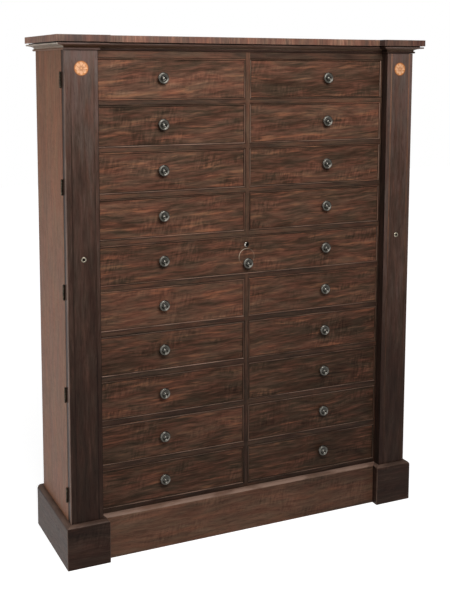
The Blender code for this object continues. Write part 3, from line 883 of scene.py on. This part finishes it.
# Painted highlights on the rim, at the lower right and more faintly at the upper left.
across = (x - z).reckon("DIVIDE", radius + 0.0001)
glint_low_right = spread(across, 0.75, 1.35)
glint_high_left = spread(across, -0.8, -1.35) * 0.6
on_rim = spread(zone, 0.62, 0.8) * spread(zone, 1.1, 0.98)
bright = glint_low_right.reckon("MAXIMUM", glint_high_left) * on_rim * 0.58
knob_colour = blend(bright, knob_colour, (340, 320, 280))
polish = {"Specular Tint": (1.0, 0.93, 0.82, 1), "Normal": bumps(rubbing, 0.12, 0.0003)}
coat(surface, knob_colour, rubbing * 0.14 + 0.08, 0.55, polish)
button = [(0.0, 14.0), (1.3, 13.9), (2.4, 13.5), (3.2, 12.8), (3.5, 12.0)]
dish = [(4.2, 11.6), (5.6, 11.5), (7.1, 11.7), (8.3, 12.4), (9.2, 13.4)]
rim = [(10.2, 14.4), (11.5, 15.2), (13.0, 15.5), (14.4, 15.1), (15.6, 14.0), (16.3, 12.6), (16.5, 11.3)]
neck = [(16.1, 9.9), (15.0, 8.6), (12.6, 7.3), (9.8, 6.1), (7.6, 5.1), (6.6, 4.3), (6.5, 3.6), (7.2, 3.2)]
rose = [(9.5, 3.1), (10.3, 2.7), (10.5, 1.8), (10.4, 0.9), (10.0, 0.3), (0.0, 0.2)]
millimetres = button + dish + rim + neck + rose
points, faces, _ = turned([(r / 1000, reach / 1000) for r, reach in millimetres], 48)
knob_mesh = bpy.data.meshes.new("turned_knob")
knob_mesh.from_pydata(points, [], faces)
face_outward(knob_mesh)
knob_mesh.shade_smooth()
knob_mesh.materials.append(ebonised)
for node in sorted(name for name in frame["nodes"] if name.startswith("knob_")):
    low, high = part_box(node)
    body = node.replace("knob", "drawer") if "wide" not in node else "drawer_wide"
    knob = put_in_scene(f"{node}_turned", knob_mesh)
    knob.location = ((low.x + high.x) / 2, low.y + knob_reach, (low.z + high.z) / 2)
    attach(knob, body)
    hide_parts(node)

# Pilasters
# Hinged stiles of dark straight-grained mahogany that fold over the drawer ends to lock them.
# A string line runs down each edge of its face, and a round inlaid rosette is let in near its top.


def cut_out(piece, cutters):
    """Cuts recesses and holes in a piece, and keeps the result as its mesh."""
    piece.modifiers.clear()
    for tool in cutters:
        cut = piece.modifiers.new("cut", "BOOLEAN")
        cut.operation = "DIFFERENCE"
        cut.solver = "EXACT"
        cut.use_self = True
        cut.object = tool
    bpy.context.view_layer.update()
    shaped = piece.evaluated_get(bpy.context.evaluated_depsgraph_get())
    piece.data = bpy.data.meshes.new_from_object(shaped)
    piece.modifiers.clear()
    keep_flat(piece)
    for tool in cutters:
        bpy.data.objects.remove(tool)


def cutter(name, shape, spot=(0, 0, 0)):
    points, plain, eased = shape
    mesh = bpy.data.meshes.new(name)
    mesh.from_pydata(points, [], plain + eased)
    face_outward(mesh)
    made = put_in_scene(name, mesh)
    made.location = spot
    return made


def nozzle_hole(spot):
    bore = nozzle_radius + play
    profile = [(0, cut_past), (bore, cut_past), (bore, -bore_depth), (0, -bore_depth)]
    return cutter("nozzle_hole", turned(profile, 40), spot)


flank_veneer = 0.0020
flank_shade = 0.0150
shaded_edge = 0.0014
left_margin = 0.015
right_margin = 0.0145
string_width = 0.004
stile_rise = 0.0027
stile_drop = 0.0004
nozzle_radius = 0.0080
play = 0.0003
lock_recess = 0.0136
cut_past = 0.005
bore_depth = 0.02
flank_ease = 0.0006
# Paleness of the face and strings at shares of the height: paler towards the head as a painted sheen, most
# on the left pilaster. The narrow inner edge strip is kept dark as painted shade.
face_looks = {
    "left": (0, [(0.0, 0.23), (0.70, 0.53), (0.93, 0.76), (1.0, 1.05)]),
    "right": (0, [(0.0, 0.33), (0.30, 0.50), (0.70, 0.74), (1.0, 0.88)]),
}
string_looks = {
    "left": (0, [(0.0, 0.10), (0.70, 0.36), (0.93, 0.76), (1.0, 1.05)]),
    "right": (1, [(0.0, 0.17), (0.30, 0.37), (0.70, 0.72), (1.0, 1.07)]),
}
shaded_look = (0, [(0.0, 0.1), (1.0, 0.1)])
for word, side in (("left", -1), ("right", 1)):
    name = f"pilaster_{word}"
    low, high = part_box(name)
    foot = low.z - stile_drop
    head = high.z + stile_rise
    outer = low.x if side < 0 else high.x
    flank = outer - side * flank_veneer
    face_left = flank if side < 0 else low.x + shaded_edge
    face_right = high.x - shaded_edge if side < 0 else flank
    left_string = low.x + left_margin
    right_string = high.x - right_margin
    shade = (face_right, high.x) if side < 0 else (low.x, face_left)
    stile = Joinery()
    edges = [face_left, left_string, left_string + string_width]
    edges += [right_string, right_string + string_width, face_right]
    looks = [face_looks[word], string_looks[word]] * 2 + [face_looks[word], shaded_look]
    for (near, far), (finish, stops) in zip([*zip(edges, edges[1:]), shade], looks):
        shift = elsewhere()
        for (base, pale), (end, paler) in zip(stops, stops[1:]):
            strip_low = (near, low.y, foot + (head - foot) * base)
            strip_high = (far, high.y, foot + (head - foot) * end)
            strip = board(strip_low, strip_high, hair)
            stile.add(strip, "z", shift, (pale + paler) / 2, finish=finish, paler_head=paler - pale)
    # The flank's front part is paled on every face as a painted highlight along the arris, and its rear part
    # is darkened as painted shade beside the hinge gap.
    near, far = sorted((outer, flank))
    shade_front = high.y - flank_shade
    points, plain, eased = board((near, low.y, foot), (far, shade_front, head), flank_ease)
    stile.add((points, [], plain + eased), "z", elsewhere(), 0.9, wear_and_sheen=0.55)
    shaded_flank = board((near, shade_front, foot), (far, high.y, head), square_ease)
    stile.add(shaded_flank, "z", elsewhere(), 0.35)
    pilaster = fit(f"{name}_boards", stile, [dark_mahogany, plinth_mahogany], name, [name])
    lock_low, lock_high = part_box(f"lock_{word}")
    recess_low = (lock_low.x - play, high.y - lock_recess, lock_low.z - play)
    recess_high = (lock_high.x + play, high.y + cut_past, lock_high.z + play)
    recess = cutter("lock_recess", board(recess_low, recess_high, hair))
    lock_middle = ((lock_low.x + lock_high.x) / 2, low.y, (lock_low.z + lock_high.z) / 2)
    cut_out(pilaster, [recess, nozzle_hole(lock_middle)])

# Medallions
# A round of pale satinwood is let into each pilaster near its top: an eight-petalled rosette, shaded
# by scorching in hot sand, inside a thin dark string.

satinwood, tree, surface = new_finish("satinwood_rosette")
place = chest_place(tree)
x, _, z = axes(place)
radius = off_axis(x, z)
wander = noise(place, 190, 190) * 5.0 - 2.5
petal_turn = z.reckon("ARCTAN2", x) * 4.0 + wander
wave = petal_turn.reckon("COSINE").reckon("ABSOLUTE")
petal_edge = wave.reckon("POWER", 0.6) * 0.0085 + 0.0085
outside = spread(radius - petal_edge, -0.0004, 0.0008)
figure = noise(place, 60, 420, 3)
ground = tones(figure, [(0.3, (420, 150, 46)), (0.7, (540, 215, 74))])
petals = tones(figure, [(0.3, (520, 255, 120)), (0.7, (780, 450, 260))])
scorch = (1.0 - spread(wave, 0.05, 0.6)) * 0.8
heart = (1.0 - spread(radius, 0.002, 0.011)) * 0.7
petals = blend(scorch.reckon("MAXIMUM", heart), petals, (300, 92, 27))
colour = blend(outside, petals, ground)
eye = radius.reckon("LESS_THAN", 0.0026)
colour = blend(eye, colour, (620, 330, 160))
dark_string = spread(radius, 0.0183, 0.0196)
colour = blend(dark_string, colour, (150, 58, 26))
coat(surface, colour, figure * 0.2 + 0.3, 0.25, {"Normal": bumps(figure, 0.15, 0.0003)})
disc_radius = 0.0211
disc_height = 1.4105
disc_rise = 0.0003
disc_depth = 0.0012
disc_profile = [(0, disc_rise), (disc_radius - 0.0006, disc_rise), (disc_radius - 0.0002, disc_rise * 0.7)]
disc_profile += [(disc_radius, 0.0), (disc_radius, -disc_depth), (0, -disc_depth)]
for word in ("left", "right"):
    low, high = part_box(f"pilaster_{word}")
    disc = Joinery()
    disc.add(turned(disc_profile, 64), "z")
    medallion = fit(f"medallion_{word}", disc, [satinwood], f"pilaster_{word}")
    medallion.location = ((low.x + high.x) / 2, low.y, disc_height)

# Hinges
# Five butt hinges on each side: two leaves, a barrel of five knuckles on a pin with domed tips, and
# slotted screws. They are brass that has gone dark brown.


def metal(name, dark, light, bright, rough):
    """Old metal: blotched tarnish, brighter where it is rubbed, with fine scratches."""
    material, tree, surface = new_finish(name)
    place = chest_place(tree)
    blotches = noise(place, 130, 130, 4)
    brightened = spread(noise(place, 260, 260), 0.56, 0.74)
    colour = blend(brightened, tones(blotches, [(0.32, dark), (0.62, light)]), bright)
    dull = blotches * 0.25 + (rough - 0.12)
    scratches = bumps(noise(place, 90, 1400), 0.12, 0.0002)
    coat(surface, colour, dull, 0.5, {"Metallic": 1.0, "Normal": scratches})
    return material


def upright(shape, spot):
    """Stands a turned shape on its axis at a place."""
    points, plain, eased = shape
    return [(x + spot[0], z + spot[1], spot[2] - y) for x, y, z in points], plain, eased


def screw_head(middle, radius, facing):
    """Two halves of a flat screw head with the driver's slot between them."""
    halves = []
    slot_half = 0.0003
    sink = 0.0003
    rise = 0.00018
    for half in (-1, 1):
        outline = arc((0, half * slot_half), (radius, half * (radius - slot_half)), (0, math.pi), 10)
        near, far = (
            [(middle[0] + across, middle[1] + facing * depth, middle[2] + up) for across, up in outline]
            for depth in (-sink, rise)
        )
        halves.append(prism(near, far))
    return halves


dark_bronze = metal("dark_bronze", (22, 18, 14), (60, 47, 33), (150, 120, 80), 0.45)
hinges_a_side = 5
knuckles = 5
hinge_inset = 0.0015
barrel_radius = 0.003
barrel_ease = 0.0004
knuckle_gap = 0.0002
leaf_thickness = 0.0009
leaf_inset = 0.0003
leaf_wrap = 0.0018
fixed_offset = 0.0003
moving_offset = -0.0012
screw_radius = 0.0021
screw_spots = ((0.16, 0.35), (0.5, 0.72), (0.84, 0.35))
dome = [(0, 0.0014), (0.0010, 0.0012), (0.0017, 0.0007), (0.0020, 0.0), (0, -0.0006)]
for word, side in (("left", -1), ("right", 1)):
    low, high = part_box(f"hinge_{word}_lower")
    top_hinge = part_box(f"hinge_{word}_upper")[0].z - low.z
    length = high.z - low.z - 2 * hinge_inset
    pivot = (low.x + barrel_radius if side < 0 else high.x - barrel_radius, high.y - barrel_radius)
    inner_end = high.x if side < 0 else low.x
    leaf_start = pivot[0] - side * leaf_wrap
    near, far = sorted((leaf_start, inner_end))
    pitch = length / knuckles
    knuckle_top = pitch - knuckle_gap
    shoulder = barrel_radius - barrel_ease
    barrel = [(0, 0.0), (shoulder, 0.0), (barrel_radius, barrel_ease)]
    barrel += [(barrel_radius, knuckle_top - barrel_ease), (shoulder, knuckle_top), (0, knuckle_top)]
    fixed = Joinery()
    moving = Joinery()
    for number in range(hinges_a_side):
        foot = low.z + hinge_inset + top_hinge * number / (hinges_a_side - 1)
        for knuckle in range(knuckles):
            leaf = moving if knuckle % 2 else fixed
            leaf.add(upright(turned(barrel, 20), (*pivot, foot + knuckle * pitch)), "z")
        fixed.add(upright(turned(dome, 16), (*pivot, foot + length)), "z")
        fixed.add(upright(turned([(r, -reach) for r, reach in dome], 16), (*pivot, foot)), "z")
        plates = ((fixed, pivot[1] + fixed_offset, -1), (moving, pivot[1] + moving_offset, 1))
        for leaf, plate_front, facing in plates:
            plate_back = plate_front + leaf_thickness
            plate_low = (near, plate_front, foot + leaf_inset)
            plate_high = (far, plate_back, foot + length - leaf_inset)
            leaf.add(board(plate_low, plate_high, hair), "z")
            face = plate_front if facing < 0 else plate_back
            for share, across in screw_spots:
                spot = (leaf_start + (inner_end - leaf_start) * across, face, foot + length * share)
                for half in screw_head(spot, screw_radius, facing):
                    leaf.add(half, "z")
    name = f"hinge_leaves_{word}"
    nodes = [f"hinge_{word}_lower", f"hinge_{word}_upper"]
    fit(f"{name}_fixed", fixed, [dark_bronze], "carcass", nodes)
    fit(f"{name}_moving", moving, [dark_bronze], f"pilaster_{word}")

# Locks
# A brass lock case is let in behind each pilaster and behind the wide drawer's front. Its round
# nozzle comes through the wood, with the key pin in its hole, and a steel bolt slides in a slot.

# The key holes and pins are painted near black, as painted shade inside the hole.
keyhole_shade, tree, surface = new_finish("keyhole_shade")
shade_tone = noise(chest_place(tree), 300, 300)
shade_tone = tones(shade_tone, [(0.3, (2, 2, 2)), (0.7, (6, 5, 4))])
coat(surface, shade_tone, 0.9, 0.1, {})
old_brass = metal("old_brass", (200, 172, 130), (360, 318, 245), (520, 470, 380), 0.32)
# The centre nozzle's brass is pale as a painted highlight, and darkened towards its right side as grime and
# painted shade.
grime_and_shade_brass = metal("grime_and_shade_brass", (420, 380, 330), (620, 570, 510), (760, 710, 650), 0.30)
x, _, _ = axes(chest_place(grime_and_shade_brass.node_tree))
cover(grime_and_shade_brass, spread(x, -0.0038, 0.0012), (20, 17, 13))
filed_steel = metal("filed_steel", (200, 190, 180), (360, 350, 330), (500, 490, 470), 0.40)
nozzle_dome = [(0.0, 0.5), (0.05, 0.65), (0.25, 0.9), (0.475, 1.0)]
nozzle_dome += [(0.65, 0.93), (0.75, 0.68), (0.925, 0.35), (1.0, 0.0)]
key_pin = [(0, -0.0030), (0.0008, -0.0032), (0.0011, -0.0038), (0.0011, -0.0092), (0, -0.0092)]
key_depth = 0.009
lock_depth = 0.013
nozzle_height = 0.025
bolt_throw = 0.006
slot_past = 0.001
recess_past = 0.004


def nozzle(key_hole, rise, depth):
    """A lock's round nose: a domed ring, the key's dark hole and the pin in it."""
    hole = [(0, -key_depth), (key_hole, -key_depth), (key_hole, rise * 0.5)]
    ring = [(key_hole + (nozzle_radius - key_hole) * share, rise * level) for share, level in nozzle_dome]
    ring += [(nozzle_radius, -depth), (0, -depth)]
    return turned(ring, 48), turned(hole, 48), turned(key_pin, 16)


def moved(shape, spot):
    points, plain, eased = shape
    return [tuple(Vector(point) + Vector(spot)) for point in points], plain, eased


for word, side in (("left", -1), ("right", 1), ("centre", 0)):
    body = f"pilaster_{word}" if side else "drawer_wide"
    low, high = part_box(f"lock_{word}")
    bolt_low, bolt_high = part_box(f"bolt_{word}")
    holder_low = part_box(body)[0]
    face = holder_low.y if side else holder_low.y + bead_rise
    case = Joinery()
    case_front = high.y - lock_depth
    case.add(board((low.x, case_front, low.z), high, square_ease), "z")
    lock_case = fit(f"lock_{word}_case", case, [old_brass], body, [f"lock_{word}"])
    slot_low = [bolt_low.x - play, bolt_low.y - play, bolt_low.z - play]
    slot_high = [bolt_high.x + play, high.y + slot_past, bolt_high.z + play]
    if side < 0:
        slot_low[0] -= bolt_throw
    elif side > 0:
        slot_high[0] += bolt_throw
    else:
        slot_high[2] = high.z + slot_past
    cut_out(lock_case, [cutter("bolt_slot", board(slot_low, slot_high, hair / 2))])
    key_hole, rise = (0.0040, 0.0015) if side else (0.0046, 0.0022)
    middle = ((low.x + high.x) / 2, face, low.z + nozzle_height)
    nose = Joinery()
    for shape, finish in zip(nozzle(key_hole, rise, case_front - face - hair), (0, 1, 1)):
        nose.add(moved(shape, middle), "z", finish=finish)
    fit(f"lock_{word}_nozzle", nose, [old_brass if side else grime_and_shade_brass, keyhole_shade], body)
    dress_node(f"bolt_{word}", filed_steel)
    if not side:
        recess_low = (low.x - play, case_front - play, low.z - play)
        recess_high = (high.x + play, high.y + recess_past, high.z + recess_past)
        recess = cutter("lock_recess", board(recess_low, recess_high, hair))
        cut_out(wide_front, [recess, nozzle_hole(middle)])

# Stage, lights and camera
# A plain white floor, one large soft lamp high in front, a softer one on the left and an even sky.


def ray(tree, kind):
    return add_node(tree, "LightPath", output=f"Is {kind} Ray")


def mirrored(tree):
    return ray(tree, "Glossy").reckon("MAXIMUM", ray(tree, "Transmission"))


floor_mesh = bpy.data.meshes.new("floor")
floor_mesh.from_pydata([(-9, -9, 0), (9, -9, 0), (9, 9, 0), (-9, 9, 0)], [], [[0, 1, 2, 3]])
floor = put_in_scene("floor", floor_mesh)
floor.location.z = -0.0004
floor_finish, tree, surface = new_finish("studio_floor")
floor_mesh.materials.append(floor_finish)
seen = ray(tree, "Camera").reckon("MAXIMUM", mirrored(tree))
distance = add_node(tree, "VectorMath", {0: chest_place(tree)}, "Value", operation="LENGTH")
glow = seen * spread(distance, 0.8, 3.0, 0.86, 1.0, "LINEAR")
glow = {"Emission Color": (1, 1, 1, 1), "Emission Strength": glow}
coat(surface, (0.5, 0.5, 0.5, 1), 0.9, 0.1, glow)

world = bpy.data.worlds.new("studio")
bpy.context.scene.world = world
world.use_nodes = True
tree = world.node_tree
_, heading, _ = axes(add_node(tree, "TexCoord", output="Generated"))
behind_chest = spread(heading, 0.6, 1.0, 0.2, 0.5, "LINEAR")
level = add_node(tree, "Mix", {0: mirrored(tree), 2: 0.13, 3: behind_chest}, data_type="FLOAT")
level = add_node(tree, "Mix", {0: ray(tree, "Camera"), 2: level, 3: 1.0}, data_type="FLOAT")
feed(tree.nodes["Background"], {"Color": (1, 1, 1, 1), "Strength": level})


def soft_lamp(name, spot, target, width, height, watts):
    lamp = bpy.data.lights.new(name, "AREA")
    lamp.shape = "RECTANGLE"
    lamp.size = width
    lamp.size_y = height
    lamp.energy = watts
    holder = put_in_scene(name, lamp)
    holder.location = spot
    holder.rotation_euler = (Vector(target) - Vector(spot)).to_track_quat("-Z", "Y").to_euler()
    holder.visible_camera = False


soft_lamp("front_lamp", (-0.25, -1.7, 2.2), (0.0, -0.1, 1.0), 1.5, 0.8, 46)
soft_lamp("left_lamp", (-2.9, -0.2, 1.1), (-0.5, 0.0, 0.8), 1.4, 2.0, 30)

yaw, tilt, roll = (math.radians(turn) for turn in (-25.14, 83.287, 0.1605))
aim = Matrix.Rotation(yaw, 4, "Z") @ Matrix.Rotation(tilt, 4, "X") @ Matrix.Rotation(roll, 4, "Z")
lens = bpy.data.cameras.new("camera")
lens.sensor_width = 36
lens.sensor_height = 36
lens.lens = 60.402
lens.shift_y = -0.1868
lens.clip_start = 0.05
camera = put_in_scene("camera", lens)
camera.matrix_world = Matrix.Translation((-1.316, -2.7611, 1.4099)) @ aim
bpy.context.scene.camera = camera
bpy.context.scene.view_settings.view_transform = "Standard"
